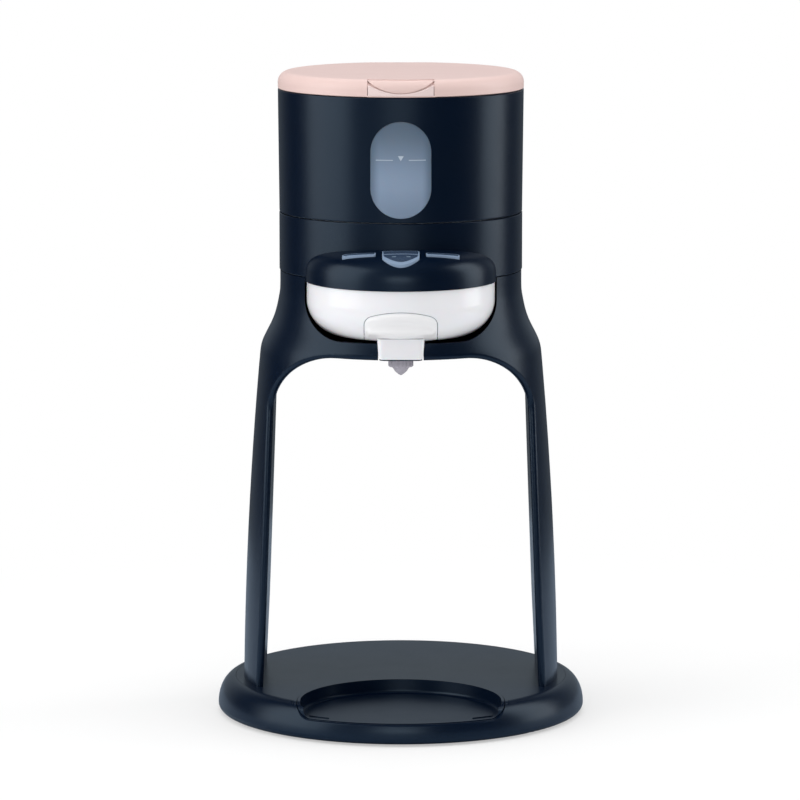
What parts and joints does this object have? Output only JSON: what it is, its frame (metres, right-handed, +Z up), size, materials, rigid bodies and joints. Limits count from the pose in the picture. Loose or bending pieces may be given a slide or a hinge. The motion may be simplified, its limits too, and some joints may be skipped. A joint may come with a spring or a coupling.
{
  "type": "baby formula maker",
  "caption": "Worktop baby formula maker: round base and two blade legs carry a heater housing with a lift-off water tank, a sliding powder bowl and a drip nozzle over the bottle place.",
  "frame": {"origin": "centre of the base on the surface that the machine stands on", "axes": "+Z up, the buttons and the drawer face -Y, +X to the right seen from the front"},
  "size_m": [0.21, 0.21, 0.3676],
  "materials": {
    "navy_plastic": "satin moulded, fine spark texture",
    "pink_plastic": "satin moulded",
    "white_plastic": "gloss moulded",
    "clear_tank": "clear smoke-blue moulded plastic",
    "window_tint": "translucent blue-grey, gloss",
    "button_plastic": "light blue-grey, satin",
    "silicone": "translucent grey silicone, satin",
    "black_rubber": "matt rubber",
    "steel": "bright zinc plated or stainless",
    "alloy": "die cast, blasted",
    "circuit_board": "green solder mask",
    "hose_silicone": "clear silicone hose",
    "black_plastic": "moulded, matt"
  },
  "bodies": {
    "machine": {"base_rim": "navy_plastic", "base_deck": "navy_plastic", "base_cover": "navy_plastic", "rubber_feet": "black_rubber", "cover_screws": "steel", "leg_screws": "steel", "stand_frame": "navy_plastic", "mid_housing": "navy_plastic", "chassis": "black_plastic", "housing_screws": "steel", "control_pod": "navy_plastic", "control_board": "circuit_board", "tact_switches": "black_plastic", "pod_screws": "steel", "ribbon_cable": "black_plastic", "drawer_rails": "black_plastic", "dock_cup": "black_plastic", "dock_seal": "silicone", "flow_meter": "black_plastic", "pump": "steel", "pump_mounts": "black_rubber", "heater_block": "alloy", "thermostats": "steel", "water_spout": "silicone", "hose_dock_to_meter": "hose_silicone", "hose_meter_to_pump": "hose_silicone", "hose_pump_to_heater": "hose_silicone", "hose_heater_to_spout": "hose_silicone", "power_board": "circuit_board", "board_parts": "black_plastic", "mains_gland": "black_rubber"},
    "tray": {"drip_tray": "navy_plastic"},
    "button_right": {"button_right": "button_plastic"},
    "button_left": {"button_left": "button_plastic"},
    "button_centre": {"button_centre": "button_plastic"},
    "drawer": {"drawer_bowl": "white_plastic", "funnel": "white_plastic", "nozzle_collar": "navy_plastic", "nozzle": "silicone"},
    "tank": {"tank_shell": "navy_plastic", "level_window": "window_tint", "water_tank": "clear_tank", "valve_body": "white_plastic", "valve_spring": "steel", "lid_hinge_pin": "steel"},
    "plunger": {"valve_plunger": "white_plastic", "valve_seal": "silicone"},
    "lid": {"lid": "pink_plastic", "lid_seal": "silicone"}
  },
  "joints": [
    {"name": "drawer_slide", "type": "slide", "parent": "machine", "child": "drawer", "axis": [0, -1, 0], "range_m": [0, 0.05]},
    {"name": "tank_lift", "type": "slide", "parent": "machine", "child": "tank", "axis": [0, 0, 1], "range_m": [0, 0.09]},
    {"name": "valve_travel", "type": "slide", "parent": "tank", "child": "plunger", "axis": [0, 0, 1], "range_m": [-0.003, 0], "deforming": ["valve_spring"]},
    {"name": "lid_hinge", "type": "hinge", "parent": "tank", "child": "lid", "pos_m": [0, 0.0656, 0.3622], "axis": [-1, 0, 0], "range_deg": [0, 95]},
    {"name": "tray_lift", "type": "slide", "parent": "machine", "child": "tray", "axis": [0, 0, 1], "range_m": [0, 0.03]},
    {"name": "press_left", "type": "slide", "parent": "machine", "child": "button_left", "axis": [0, 0, -1], "range_m": [0, 0.0009], "stiffness_N_per_m": 900},
    {"name": "press_right", "type": "slide", "parent": "machine", "child": "button_right", "axis": [0, 0, -1], "range_m": [0, 0.0009], "stiffness_N_per_m": 900},
    {"name": "press_centre", "type": "slide", "parent": "machine", "child": "button_centre", "axis": [0, 0, -1], "range_m": [0, 0.0009], "stiffness_N_per_m": 900}
  ],
  "couplings": [
    {"joint": "valve_travel", "follows": "tank_lift", "ratio": -0.033333}
  ]
}
